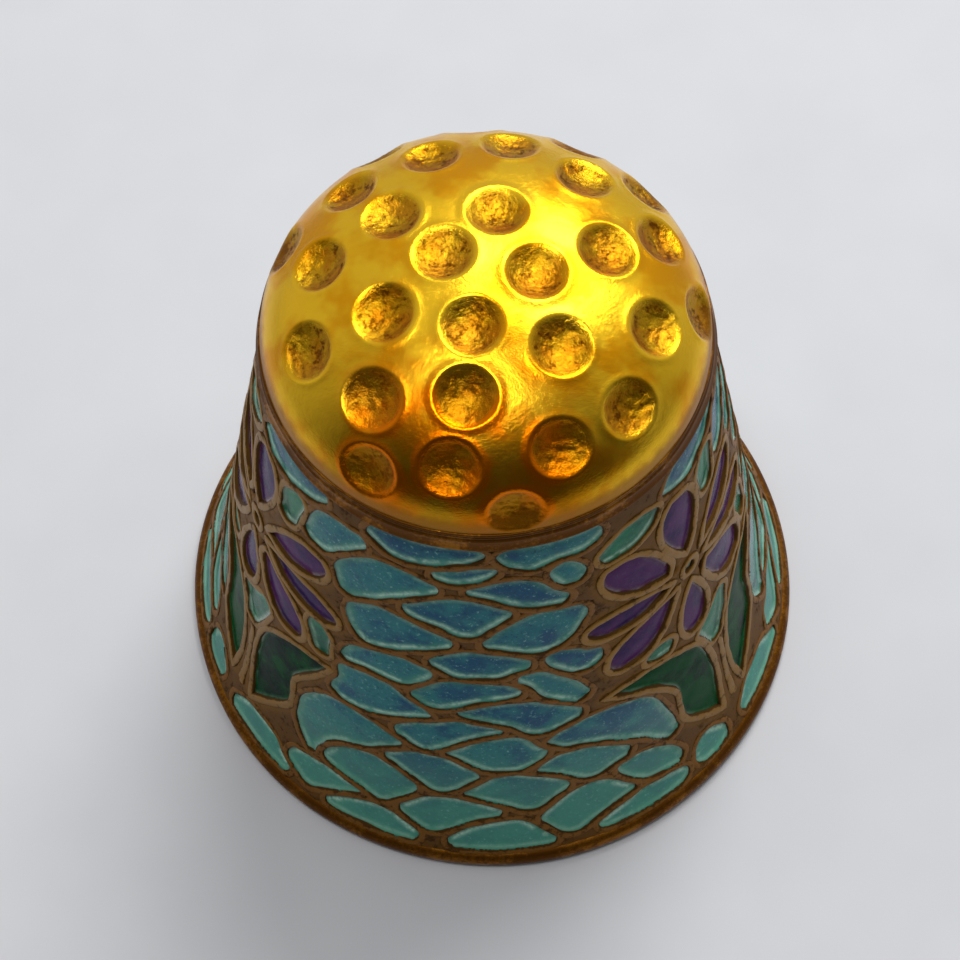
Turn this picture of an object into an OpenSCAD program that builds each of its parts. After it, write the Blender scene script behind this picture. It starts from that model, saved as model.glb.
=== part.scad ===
// Cloisonne thimble: a spun copper cone with a dimpled gilt crown, its wall
// covered in enamel cells that are fenced by flat wires set on edge.
// Millimetres, +Z up, the finger goes in from below, z = 0 is the foot's rest plane.

/* [Overall] */
// Outer diameter of the rolled foot
foot_d = 22; // [18:0.5:28]
// Diameter of the enamelled wall where it meets the collar
neck_d = 13.74; // [11:0.02:17]
// Height of the enamelled wall's upper edge above the table
wall_h = 18.5; // [15:0.1:24]
// Rise of the crown above the collar
crown_h = 3.25; // [2:0.05:5]

/* [Walls] */
// Thickness of the spun copper body
shell_t = 0.45; // [0.3:0.05:0.7]
// Thickness of the ground coat that holds the wires
ground_t = 0.1; // [0.06:0.02:0.2]
// Thickness of the plain enamel that lines the inside
lining_t = 0.15; // [0.1:0.01:0.25]
// Thickness of the stamped crown
crown_t = 0.7; // [0.5:0.05:0.9]

/* [Foot and collar] */
// Diameter of the rolled bead at the foot
bead_d = 0.8; // [0.5:0.05:1.1]
// Height over which the wall flares out towards the foot
flare_h = 4.4; // [3:0.1:6]
// How far the flare stands out from the straight cone at the table
flare_out = 0.78; // [0.4:0.02:1]
// Height of the collar band
collar_h = 0.75; // [0.5:0.05:1.2]
// How far the collar's lower edge stands out from the wall
collar_out = 0.1; // [0.04:0.02:0.3]
// How far the collar's upper edge draws in
collar_in = 0.14; // [0:0.02:0.3]

/* [Crown] */
// Height of the raised lip round the crown's foot
lip_h = 0.26; // [0.15:0.01:0.4]
// Width across one punched dimple
dimple_d = 1.9; // [1.4:0.05:2.2]
// Depth of one punched dimple
dimple_depth = 0.3; // [0.15:0.01:0.35]

/* [Wires and enamel] */
// Height of the flat wire, from the ground coat to its top edge
wire_h = 0.26; // [0.2:0.02:0.4]
// Thickness of the flat wire
wire_t = 0.15; // [0.1:0.01:0.18]
// How far the fired enamel lies below the wires' top edges
enamel_drop = 0.06; // [0.02:0.01:0.1]
// Radius of the bead of enamel in a flower's heart
heart_r = 0.28; // [0.2:0.01:0.35]

/* [Clearances] */
// Gap between a wire and the enamel cell that it fences
cell_gap = 0.03; // [0.02:0.01:0.05]
// Gap under the wires and enamel, which clears the flats of their facets
seat_gap = 0.03; // [0.02:0.01:0.05]

/* [Hidden] */
REPEATS = 3;
ROWS = 13;
FLOWER_NAMES = ["right", "left", "back"];
FLOWER_TURN = [0, 240, 120];
FLOWER_PARTS = [
    "petal_wires", "petal_enamel", "heart_wire", "heart_enamel",
    "leaf_wires", "leaf_enamel", "stem_wire", "accent_enamel"
];

ROUND = 96;          // facets of a full circle on screen
PATTERN_FOOT = 0.787;   // height in the wall pattern's drawing of the foot rim's top
PATTERN_H = 18.2;    // height in that drawing of the collar's foot
LAYER_STEPS = 18;    // conical bands in each layer of the wall
LAYER_CROWDING = 1.6;   // crowds the bands towards the flared foot
COLLAR_BEVEL = 0.06; // bevel on the collar's upper and lower edges
WALL_OVERHANG = 0.15;   // how far past the foot rim the wall's curve would reach at height 0

crown_r = neck_d / 2 + collar_out - collar_in - COLLAR_BEVEL;
crown_z = wall_h + collar_h;
cone_foot_r = foot_d / 2 + WALL_OVERHANG - flare_out;
shell_drop = wire_h + ground_t;
lining_drop = shell_drop + shell_t;

// --- the wall's outer surface, level with the wires' top edges ---
function flare(z) = flare_out * pow(max(0, 1 - z / flare_h), 2);
function wall_r(z) = cone_foot_r + (neck_d / 2 - cone_foot_r) * z / wall_h + flare(z);
function layer_z(i, top) = bead_d + (top - bead_d) * pow(i / LAYER_STEPS, LAYER_CROWDING);

// One layer of the wall: outer and inner depth under the wires' top edges
module wall_layer(outer_drop, inner_drop, top) {
    heights = [for (i = [0:LAYER_STEPS]) layer_z(i, top)];
    outer = [for (z = heights) [wall_r(z) - outer_drop, z]];
    inner = [for (i = [LAYER_STEPS:-1:0]) [wall_r(heights[i]) - inner_drop, heights[i]]];
    rotate_extrude($fn = ROUND) polygon(concat(outer, inner));
}

module copper_body() {
    color("peru") {
        wall_layer(shell_drop, lining_drop, wall_h);
        neck_out = neck_d / 2 - shell_drop;
        rotate_extrude($fn = ROUND)
            translate([neck_out - shell_t, wall_h])
                square([shell_t, collar_h]);
    }
}

module ground_coat() {
    color("saddlebrown") wall_layer(wire_h, shell_drop, wall_h);
}

module counter_enamel() {
    color("teal") wall_layer(lining_drop, lining_drop + lining_t, wall_h);
}

module collar_band() {
    low_r = neck_d / 2 + collar_out;
    bore_r = neck_d / 2 - shell_drop;
    color("darkgoldenrod") rotate_extrude($fn = ROUND)
        polygon([
            [bore_r, wall_h], [low_r - COLLAR_BEVEL, wall_h], [low_r, wall_h + COLLAR_BEVEL],
            [low_r - collar_in, crown_z - COLLAR_BEVEL], [crown_r, crown_z],
            [bore_r, crown_z]
        ]);
}

module foot_rim() {
    bead_r = bead_d / 2;
    web_in = wall_r(bead_d) - lining_drop - lining_t;
    bead_at = foot_d / 2 - bead_r;
    color("darkgoldenrod") rotate_extrude($fn = ROUND) {
        translate([bead_at, bead_r]) circle(r = bead_r, $fn = 48);
        translate([web_in, 0]) square([bead_at - web_in, bead_d]);
    }
}

// --- crown: a stamped dome with a lip at its foot and dimples punched from outside ---
// Each dimple: azimuth from the front towards +X, and how far down the dome it lies
DIMPLES = [
    [-126, 12], [94, 13], [-14, 14], [169, 20],
    [44, 27], [-72, 27], [-132, 32], [-10, 33], [106, 34],
    [-44, 45], [141, 47], [-103, 47], [-163, 48], [75, 49],
    [170, 52], [22, 53], [-134, 54], [-73, 54], [47, 55], [-12, 56], [109, 56],
    [-34, 68], [152, 70], [-151, 71], [-112, 72], [128, 69], [-178, 75], [88, 72], [6, 75]
];
DOME_STEPS = 16;
function dome(r, h, t) = [r * sin(t), crown_z + h * cos(t)];
function dome_arc(r, h) = [for (i = [0:DOME_STEPS]) dome(r, h, 90 * i / DOME_STEPS)];

module dimple(azimuth, t) {
    ball_r = (pow(dimple_d / 2, 2) + pow(dimple_depth, 2)) / (2 * dimple_depth);
    at = dome(crown_r, crown_h, t);
    lean = atan2(sin(t) / crown_r, cos(t) / crown_h);
    stand_off = ball_r - dimple_depth;
    rotate([0, 0, azimuth])
        translate([0, -at[0] - stand_off * sin(lean), at[1] + stand_off * cos(lean)])
            sphere(r = ball_r, $fn = 64);
}

module crown_cap() {
    outer = dome_arc(crown_r, crown_h);
    inner = dome_arc(crown_r - crown_t, crown_h - crown_t);
    back = [for (i = [DOME_STEPS:-1:0]) inner[i]];
    color("gold") difference() {
        union() {
            rotate_extrude($fn = ROUND) polygon(concat(outer, back));
            rotate_extrude($fn = ROUND)
                translate([crown_r - crown_t, crown_z]) square([crown_t, lip_h]);
        }
        for (place = DIMPLES) dimple(place[0], place[1]);
    }
}

// --- enamel cells and wires: thin plates bent to the wall ---
// Drawing points are [azimuth, height on PATTERN_H]
function lift(v) =
    bead_d + (v - PATTERN_FOOT) * (wall_h - bead_d) / (PATTERN_H - PATTERN_FOOT);
function mm_per_degree(v) = wall_r(lift(v)) * PI / 180;
function on_wall(p, drop) =
    let (z = lift(p[1]), r = wall_r(z) - drop) [r * sin(p[0]), -r * cos(p[0]), z];

// A smooth curve through hand-set points, by Catmull-Rom spans
function span(a, b, c, d, t) =
    0.5 * (2 * b + (c - a) * t + (2 * a - 5 * b + 4 * c - d) * t * t
        + (3 * b - a - 3 * c + d) * t * t * t);
function curve_at(pts, s) =
    let (
        last = len(pts) - 1,
        i = min(floor(s * last), last - 1),
        before = i > 0 ? pts[i - 1] : 2 * pts[0] - pts[1],
        after = i + 2 <= last ? pts[i + 2] : 2 * pts[last] - pts[last - 1]
    )
    span(before, pts[i], pts[i + 1], after, s * last - i);
function curve(pts, steps) = [for (i = [0:steps]) curve_at(pts, i / steps)];
function turned(pts, azimuth) = [for (p = pts) [p[0] + azimuth, p[1]]];

// A point moved sideways from a curve, by a distance in millimetres on the wall
function aside(pts, i, d) =
    let (
        k = mm_per_degree(pts[i][1]),
        ahead = pts[min(i + 1, len(pts) - 1)],
        behind = pts[max(i - 1, 0)],
        along = [(ahead[0] - behind[0]) * k, ahead[1] - behind[1]]
    )
    pts[i] + d / norm(along) * [-along[1] / k, along[0]];
function beside(pts, d) = [for (i = [0:len(pts) - 1]) aside(pts, i, d)];

// A plate between an upper and a lower edge that share both tips. Its outline
// and the line midway between the edges are laid on the wall at two depths.
function plate(upper, lower, drop_out, drop_in) =
    let (
        n = len(upper) - 1,
        middle = [for (i = [1:n - 1]) (upper[i] + lower[i]) / 2],
        flat = concat(upper, [for (i = [1:n - 1]) lower[i]], middle),
        count = len(flat),
        top = [for (i = [0:n]) i],
        bottom = concat([0], [for (i = [1:n - 1]) n + i], [n]),
        centre = concat([0], [for (i = [1:n - 1]) 2 * n - 1 + i], [n]),
        sheet = concat(
            [for (i = [0:n - 1]) each strip(top, centre, i, n)],
            [for (i = [0:n - 1]) each strip(centre, bottom, i, n)]
        ),
        rim = concat(
            [for (i = [0:n - 1]) [top[i], top[i + 1]]],
            [for (i = [0:n - 1]) [bottom[i + 1], bottom[i]]]
        )
    )
    [
        concat([for (p = flat) on_wall(p, drop_out)], [for (p = flat) on_wall(p, drop_in)]),
        concat(
            sheet,
            [for (f = sheet) [f[2] + count, f[1] + count, f[0] + count]],
            [for (e = rim) each [[e[1], e[0], e[0] + count], [e[1], e[0] + count, e[1] + count]]]
        )
    ];
// The one or two triangles between two rows of points
function strip(a, b, i, n) =
    i == 0 ? [[a[0], a[1], b[1]]]
    : i == n - 1 ? [[a[i], a[n], b[i]]]
    : [[a[i], a[i + 1], b[i + 1]], [a[i], b[i + 1], b[i]]];

// A bar of flat wire along a line: open with two ends, or closed on itself
function wire(line, near, far, closed) =
    let (
        n = len(line),
        a = closed ? loop_beside(line, near) : beside(line, near),
        b = closed ? loop_beside(line, far) : beside(line, far),
        rings = [for (i = [0:n - 1]) [
            on_wall(a[i], 0), on_wall(b[i], 0),
            on_wall(b[i], wire_h - seat_gap), on_wall(a[i], wire_h - seat_gap)
        ]],
        sides = [for (i = [0:closed ? n - 1 : n - 2], k = [0:3]) each
            let (j = (i + 1) % n, m = (k + 1) % 4)
            [[4 * i + k, 4 * i + m, 4 * j + m], [4 * i + k, 4 * j + m, 4 * j + k]]],
        ends = closed ? [] : [[3, 2, 1, 0], [for (k = [0:3]) 4 * (n - 1) + k]]
    )
    [[for (ring = rings) each ring], concat(sides, ends)];
function loop_aside(pts, i, d) =
    let (
        n = len(pts),
        k = mm_per_degree(pts[i][1]),
        ahead = pts[(i + 1) % n],
        behind = pts[(i + n - 1) % n],
        along = [(ahead[0] - behind[0]) * k, ahead[1] - behind[1]]
    )
    pts[i] + d / norm(along) * [-along[1] / k, along[0]];
function loop_beside(pts, d) = [for (i = [0:len(pts) - 1]) loop_aside(pts, i, d)];

// Several plates or wires in one node, each a closed solid of its own
function starts(parts, i = 0, at = 0) =
    i == len(parts) ? [] : concat([at], starts(parts, i + 1, at + len(parts[i][0])));
module solids(parts) {
    first = starts(parts);
    points = [for (part = parts) each part[0]];
    faces = [for (i = [0:len(parts) - 1]) for (f = parts[i][1]) [for (v = f) v + first[i]]];
    polyhedron(points, faces, convexity = 10);
}

// --- the scales, row by row from the collar down ---
// Each scale: its upper edge from tip to tip, then its lower edge between the same tips
SCALE_STEPS = 6;
SCALES = [
    [
        [[[-31, 17.8], [-23, 17.9], [-10, 17.9], [-2, 17.8]],
         [[-31, 17.8], [-26, 17.25], [-9, 17.15], [-2, 17.8]]],
        [[[1, 17.7], [8, 17.9], [19, 17.9], [27, 17.8]],
         [[1, 17.7], [5, 17.15], [20, 17.2], [27, 17.8]]],
        [[[-74, 17.1], [-66, 17.65], [-56, 17.9], [-45, 17.85]],
         [[-74, 17.1], [-64, 16.95], [-53, 17.2], [-45, 17.85]]]
    ],
    [
        [[[-15, 16.55], [-8, 17], [1, 17]],
         [[-15, 16.55], [-7, 16.35], [1, 17]]],
        [[[14.5, 16.6], [18, 16.8], [21, 15.9]],
         [[14.5, 16.6], [17.5, 15.8], [21, 15.9]]],
        [[[-50, 15.3], [-45, 16.7], [-33, 16.9]],
         [[-50, 15.3], [-43, 15.5], [-33, 16.9]]]
    ],
    [
        [[[-36, 13.8], [-37.5, 15.1], [-28, 16.1], [-13.5, 15.8]],
         [[-36, 13.8], [-30, 14.5], [-22, 15.1], [-13.5, 15.8]]],
        [[[-7, 15.9], [0, 16.15], [9, 16], [17.5, 14.9]],
         [[-7, 15.9], [0, 15.6], [9, 15.1], [17.5, 14.9]]]
    ],
    [
        [[[-21.5, 14.4], [-13, 15.1], [-4, 15.2], [4, 14.6]],
         [[-21.5, 14.4], [-11, 14], [-5, 13.65], [4, 14.6]]],
        [[[-2.5, 12.95], [3, 14], [11, 14.35], [20.5, 14.1]],
         [[-2.5, 12.95], [8, 12.6], [14, 12.5], [20.5, 14.1]]]
    ],
    [
        [[[11.5, 12], [15, 12.15], [19, 11.6], [24, 11.3]],
         [[11.5, 12], [15, 11.3], [19, 10.85], [24, 11.3]]],
        [[[-34.5, 13.3], [-27, 13.65], [-18, 13.35], [-10, 12.9]],
         [[-34.5, 13.3], [-30, 11.7], [-21, 12.4], [-10, 12.9]]],
        [[[-15, 11.7], [-8, 12.35], [0, 12.4], [7.5, 11.75]],
         [[-15, 11.7], [-8, 11.25], [0, 11.25], [7.5, 11.75]]]
    ],
    [
        [[[-36, 10], [-31, 11], [-24, 11.35], [-14.5, 11.2]],
         [[-36, 10], [-29, 10.1], [-20, 10.3], [-14.5, 11.2]]],
        [[[5, 11.1], [10, 11], [15, 10.3], [19.5, 9.1]],
         [[5, 11.1], [9, 10.3], [13, 9.7], [19.5, 9.1]]]
    ],
    [
        [[[-19, 9.6], [-12, 10.5], [-3, 10.75], [5.5, 10.2]],
         [[-19, 9.6], [-13, 9.2], [-4, 9.75], [5.5, 10.2]]],
        [[[-35.5, 9.4], [-29, 9.85], [-21, 9.35], [-14, 8.45]],
         [[-35.5, 9.4], [-36, 7.7], [-24, 8.1], [-14, 8.45]]]
    ],
    [
        [[[-9, 9], [-1, 9.45], [9, 9.2], [18, 8.2]],
         [[-9, 9], [0, 8.5], [9, 7.8], [18, 8.2]]],
        [[[-21.5, 7.1], [-16, 8], [-7, 8.3], [1.5, 7.95]],
         [[-21.5, 7.1], [-15, 6.4], [-7, 7.3], [1.5, 7.95]]]
    ],
    [
        [[[-11.5, 6.4], [-4, 7.25], [3, 7.35], [10.5, 6.4]],
         [[-11.5, 6.4], [-3, 5.7], [3.5, 5.5], [10.5, 6.4]]],
        [[[10, 6.8], [20, 7.5], [33, 6.8], [39.5, 3.6]],
         [[10, 6.8], [20, 6.1], [32, 5.1], [39.5, 3.6]]],
        [[[-41, 2.9], [-45, 4.9], [-37, 6.9], [-20.5, 6.4]],
         [[-41, 2.9], [-38.5, 4.2], [-31, 5.1], [-20.5, 6.4]]]
    ],
    [
        [[[-24, 5.3], [-17, 5.95], [-10, 5.9], [-4.5, 5]],
         [[-24, 5.3], [-15, 4.2], [-10, 4.05], [-4.5, 5]]],
        [[[7.5, 5.1], [14, 5.75], [21, 5.7], [28, 4.4]],
         [[7.5, 5.1], [14, 4.75], [21, 4], [28, 4.4]]]
    ],
    [
        [[[-38, 3.2], [-32, 4.6], [-24, 4.65], [-17.5, 3.8]],
         [[-38, 3.2], [-30, 2.8], [-24, 2.5], [-17.5, 3.8]]],
        [[[-7.5, 3.8], [0, 4.85], [8, 4.8], [14, 3.8]],
         [[-7.5, 3.8], [1, 3.4], [8, 3], [14, 3.8]]],
        [[[25.5, 3.8], [31, 3.6], [36, 3], [39.5, 2.1]],
         [[25.5, 3.8], [28, 2.9], [33, 2.15], [39.5, 2.1]]]
    ],
    [
        [[[-20, 2.4], [-14, 3.1], [-7, 3.4], [0.5, 2.8]],
         [[-20, 2.4], [-14, 1.85], [-7, 2.35], [0.5, 2.8]]],
        [[[8.5, 2.2], [14, 3.2], [22, 3.1], [28.5, 2.2]],
         [[8.5, 2.2], [13, 1.4], [21, 1.8], [28.5, 2.2]]],
        [[[-46, 1.8], [-42, 2.35], [-35, 2.5], [-28, 2.35]],
         [[-46, 1.8], [-40, 1.4], [-34, 1.75], [-28, 2.35]]]
    ],
    [
        [[[-35.5, 1.1], [-30, 1.85], [-22, 1.85], [-16, 1.1]],
         [[-35.5, 1.1], [-30, 0.95], [-22, 0.95], [-16, 1.1]]],
        [[[-9.5, 1.1], [-4, 2], [5, 2.05], [11, 1.1]],
         [[-9.5, 1.1], [-4, 0.95], [5, 0.95], [11, 1.1]]],
        [[[-63, 1.1], [-58, 1.7], [-50, 1.7], [-44.5, 1.1]],
         [[-63, 1.1], [-58, 0.95], [-50, 0.95], [-44.5, 1.1]]],
        [[[19, 1.2], [26, 1.75], [34, 1.85], [40, 1.3]],
         [[19, 1.2], [26, 0.95], [34, 0.95], [40, 1.3]]],
        [[[42.5, 1.3], [46, 1.9], [51, 1.3]],
         [[42.5, 1.3], [47, 1.05], [51, 1.3]]]
    ]
];

module scale_enamel(row) {
    cells = [for (cell = SCALES[row - 1], k = [0:REPEATS - 1])
        plate(
            turned(curve(cell[0], SCALE_STEPS), 360 / REPEATS * k),
            turned(curve(cell[1], SCALE_STEPS), 360 / REPEATS * k),
            enamel_drop, wire_h - seat_gap
        )];
    color("lightseagreen") solids(cells);
}

module scale_wires(row) {
    bars = [for (cell = SCALES[row - 1], k = [0:REPEATS - 1])
        wire(
            turned(curve(cell[0], SCALE_STEPS), 360 / REPEATS * k),
            cell_gap, cell_gap + wire_t, false
        )];
    color("sienna") solids(bars);
}

// --- the flowers: eight petals round a heart, two leaves, a stem and a green accent ---
HEART = [51, 12.3];
PETAL_STEPS = 9;
PETAL_START = 0.85;   // distance from the heart to a petal's point
PETAL_BELLY = 0.66;   // where a petal is widest, as a share of its length
PETAL_CROWDING = 1.15;   // crowds the points of a petal's edge towards its point
HEART_STEPS = 12;
// Each petal: direction, distance from the heart to its tip, width
PETALS = [
    [137, 4.5, 1.6], [91, 4.1, 1.8], [28, 4.2, 1.4], [-8, 4.4, 1.2],
    [-48, 4.3, 1.6], [-92, 3.8, 1.25], [-145, 4.2, 1.6], [177, 4.2, 1.15]
];
function petal_half(t) =
    t < PETAL_BELLY ? sin(90 * t / PETAL_BELLY)
    : sqrt(1 - pow((t - PETAL_BELLY) / (1 - PETAL_BELLY), 2));
function petal_point(petal, t, side) =
    let (
        along = PETAL_START + (petal[1] - PETAL_START) * t,
        across = side * petal[2] / 2 * petal_half(t),
        x = along * cos(petal[0]) - across * sin(petal[0]),
        v = along * sin(petal[0]) + across * cos(petal[0])
    )
    HEART + [x / mm_per_degree(HEART[1]), v];
function petal_edge(petal, side) =
    [for (i = [0:PETAL_STEPS]) petal_point(petal, sin(90 * pow(i / PETAL_STEPS, PETAL_CROWDING)), side)];
function outline(upper, lower) =
    concat(upper, [for (i = [len(lower) - 2:-1:1]) lower[i]]);

LEAF_STEPS = 8;
// Each leaf: from its hooked tip down its outer edge, and down its inner edge
LEAVES = [
    [[[24, 8.5], [36, 8.6], [49, 7.5], [53.2, 5], [52.5, 2.4]],
     [[24, 8.5], [35, 7.5], [42, 6], [43, 4], [52.5, 2.4]]],
    [[[81.5, 8.8], [76, 7.5], [71.5, 6.3], [71, 4.5], [60.5, 2.4]],
     [[81.5, 8.8], [70, 8.4], [61, 7], [59, 4.5], [60.5, 2.4]]]
];
// Green and turquoise cells between the petals and the leaves
ACCENTS = [
    [[[50.5, 8], [55, 8.1], [60.5, 8.8]],
     [[50.5, 8], [55, 6.6], [60.5, 8.8]]],
    [[[27, 16.1], [34, 16.75], [45, 16.85]],
     [[27, 16.1], [36, 16.2], [45, 16.85]]],
    [[[61, 14.9], [62.5, 16], [67, 16.5]],
     [[61, 14.9], [65.5, 15.2], [67, 16.5]]],
    [[[35, 9.3], [38, 9.55], [42, 9]],
     [[35, 9.3], [38, 8.95], [42, 9]]],
    [[[74.5, 11], [78, 10.9], [79, 9.4]],
     [[74.5, 11], [76.5, 10], [79, 9.4]]]
];
ACCENT_STEPS = 6;
// The stem's two wires run side by side from the accent to a small loop at the foot
STEM = [
    [55.7, 6.3], [55.9, 5], [55.8, 3.8], [55.2, 3.1], [55.8, 2.4],
    [57.2, 2.4], [57.8, 3.1], [57.2, 3.8], [57.3, 5], [57.4, 6.3]
];
STEM_STEPS = 18;

module petal_enamel(turn) {
    color("indigo") solids([for (petal = PETALS)
        plate(turned(petal_edge(petal, 1), turn), turned(petal_edge(petal, -1), turn),
            enamel_drop, wire_h - seat_gap)]);
}

module petal_wires(turn) {
    color("goldenrod") solids([for (petal = PETALS)
        wire(turned(outline(petal_edge(petal, 1), petal_edge(petal, -1)), turn),
            cell_gap, cell_gap + wire_t, true)]);
}

function ring_points(r, steps) = [for (i = [0:steps - 1])
    HEART + r * [cos(-360 * i / steps) / mm_per_degree(HEART[1]), sin(-360 * i / steps)]];

module heart_wire(turn) {
    color("goldenrod")
        solids([wire(turned(ring_points(heart_r, HEART_STEPS), turn), cell_gap, cell_gap + wire_t, true)]);
}

module heart_enamel(turn) {
    ring = ring_points(heart_r, HEART_STEPS);
    half = HEART_STEPS / 2;
    upper = [for (i = [half:HEART_STEPS]) ring[i % HEART_STEPS]];
    lower = [for (i = [half:-1:0]) ring[i]];
    color("cadetblue")
        solids([plate(turned(upper, turn), turned(lower, turn), enamel_drop, wire_h - seat_gap)]);
}

module leaf_enamel(turn) {
    color("darkgreen") solids([for (leaf = LEAVES)
        plate(turned(curve(leaf[0], LEAF_STEPS), turn), turned(curve(leaf[1], LEAF_STEPS), turn),
            enamel_drop, wire_h - seat_gap)]);
}

module leaf_wires(turn) {
    color("goldenrod") solids([for (leaf = LEAVES)
        wire(turned(outline(curve(leaf[0], LEAF_STEPS), curve(leaf[1], LEAF_STEPS)), turn),
            cell_gap, cell_gap + wire_t, true)]);
}

module stem_wire(turn) {
    color("goldenrod")
        solids([wire(turned(curve(STEM, STEM_STEPS), turn), -wire_t / 2, wire_t / 2, false)]);
}

module accent_enamel(turn) {
    color("seagreen") solids([for (cell = ACCENTS)
        plate(turned(curve(cell[0], ACCENT_STEPS), turn), turned(curve(cell[1], ACCENT_STEPS), turn),
            enamel_drop, wire_h - seat_gap)]);
}

copper_body();
crown_cap();
collar_band();
foot_rim();
ground_coat();
counter_enamel();
for (row = [1:ROWS]) {
    scale_wires(row);
    scale_enamel(row);
}
for (i = [0:REPEATS - 1]) {
    side = FLOWER_NAMES[i];
    turn = FLOWER_TURN[i];
    petal_wires(turn);
    petal_enamel(turn);
    heart_wire(turn);
    heart_enamel(turn);
    leaf_wires(turn);
    leaf_enamel(turn);
    stem_wire(turn);
    accent_enamel(turn);
}
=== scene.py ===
# %% [markdown]
# # A cloisonne thimble
# A cloisonne thimble is a spun copper cone. Flat wires are set on edge on its wall, the
# cells between them are filled with powdered glass and fired, and a gilt crown with
# punched dimples closes the top. The CAD model holds every piece at its real size. This
# lesson reads the pieces' outlines back from it and gives them the fine relief, the
# glass and the worn metal that make the thing look real.

# %% Load the CAD frame
import math

import bmesh
import bpy
import numpy as np
from mathutils import Matrix, Vector
from mathutils.geometry import delaunay_2d_cdt


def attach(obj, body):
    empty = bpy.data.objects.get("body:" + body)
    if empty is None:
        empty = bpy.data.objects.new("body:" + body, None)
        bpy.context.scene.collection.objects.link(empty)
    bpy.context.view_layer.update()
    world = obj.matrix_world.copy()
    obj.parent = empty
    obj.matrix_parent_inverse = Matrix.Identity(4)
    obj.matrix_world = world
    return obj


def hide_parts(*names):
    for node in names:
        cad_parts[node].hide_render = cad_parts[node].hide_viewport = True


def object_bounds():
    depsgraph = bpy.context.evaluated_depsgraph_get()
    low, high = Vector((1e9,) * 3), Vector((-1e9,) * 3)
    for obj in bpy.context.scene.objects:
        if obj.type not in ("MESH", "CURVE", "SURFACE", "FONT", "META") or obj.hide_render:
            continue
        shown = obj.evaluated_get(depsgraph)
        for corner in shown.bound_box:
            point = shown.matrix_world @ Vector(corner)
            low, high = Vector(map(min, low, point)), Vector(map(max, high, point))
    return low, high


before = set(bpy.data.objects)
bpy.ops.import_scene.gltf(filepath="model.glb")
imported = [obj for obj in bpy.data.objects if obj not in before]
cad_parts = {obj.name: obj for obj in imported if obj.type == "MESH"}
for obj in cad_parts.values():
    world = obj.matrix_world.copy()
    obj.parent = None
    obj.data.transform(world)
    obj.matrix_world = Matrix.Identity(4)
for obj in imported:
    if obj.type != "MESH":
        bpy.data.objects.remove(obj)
cad_low, cad_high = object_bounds()
MM = 0.001
TURN = 2 * math.pi
scene = bpy.context.scene
print("CAD box in mm:", [round(v / MM, 2) for v in (*cad_low, *cad_high)])

# %% [markdown]
# ## Reading the wall
# Everything on the wall stands on the ground coat, so its radius at each height is the
# base that all relief is measured from. The CAD coat is a stack of straight cones. A
# smooth curve through their edges gives the same shape without creases, and creases
# would show at once in a glossy surface.


# %% Measure the ground coat
def node_points(name):
    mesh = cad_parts[name].data
    co = np.empty(len(mesh.vertices) * 3)
    mesh.vertices.foreach_get("co", co)
    return co.reshape(-1, 3) / MM


def outer_profile(points):
    """Each height at which the points lie, and the largest radius there."""
    heights = np.round(points[:, 2], 2)
    radii = np.hypot(points[:, 0], points[:, 1])
    levels = np.unique(heights)
    return levels, np.array([radii[heights == level].max() for level in levels])


def smooth_through(x, y):
    """A function that passes smoothly through the given points."""
    slope = np.gradient(y, x)

    def at(value):
        value = np.clip(np.asarray(value, float), x[0], x[-1])
        i = np.clip(np.searchsorted(x, value) - 1, 0, len(x) - 2)
        width = x[i + 1] - x[i]
        t = (value - x[i]) / width
        return ((1 + 2 * t) * (1 - t) ** 2 * y[i] + t * (1 - t) ** 2 * width * slope[i]
                + t * t * (3 - 2 * t) * y[i + 1] - t * t * (1 - t) * width * slope[i + 1])

    return at


coat_levels, coat_radii = outer_profile(node_points("ground_coat"))
coat_radius = smooth_through(coat_levels, coat_radii)
wall_low, wall_high = coat_levels[0], coat_levels[-1]


def lift_of(points):
    """How far points stand off the ground coat."""
    return np.hypot(points[:, 0], points[:, 1]) - coat_radius(points[:, 2])


WIRE_TOP = lift_of(node_points("scale_wires_row_6")).max()
GLASS_TOP = lift_of(node_points("scale_enamel_row_6")).max()
print("coat", round(wall_low, 2), "to", round(wall_high, 2), "mm high;",
      "wires stand", round(WIRE_TOP, 3), "and glass", round(GLASS_TOP, 3), "mm off it")

# %% [markdown]
# ## Reading outlines from the CAD pieces
# Each wire and each cell is a thin plate bent to the wall. The edge of its outer face is
# the outline that the maker bent the wire to. It is found by keeping the faces that lie
# on the outside and walking round the edges that only one of them uses. Azimuth and
# height are enough to say where such a point is, because the wall gives the radius.


# %% Walk round the outer face of every plate
def outlines(node):
    """Closed outlines of a node's plates, as (azimuth, height) points, clockwise from outside."""
    bm = bmesh.new()
    bm.from_mesh(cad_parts[node].data)
    bmesh.ops.remove_doubles(bm, verts=bm.verts, dist=1e-7)
    points = np.array([v.co[:] for v in bm.verts]) / MM
    outside = lift_of(points) > GLASS_TOP / 2
    bm.verts.index_update()
    follows = {}
    for face in bm.faces:
        if not all(outside[v.index] for v in face.verts):
            continue
        for loop in face.loops:
            other = loop.link_loop_radial_next.face
            if not all(outside[v.index] for v in other.verts):
                follows[loop.vert.index] = loop.link_loop_next.vert.index
    bm.free()
    found = []
    while follows:
        start = next(iter(follows))
        ring, here = [], start
        while here in follows:
            ring.append(here)
            here = follows.pop(here)
        p = points[ring]
        azimuth = np.unwrap(np.arctan2(p[:, 0], -p[:, 1]))
        found.append(np.column_stack([azimuth, p[:, 2]]))
    return found


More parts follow.
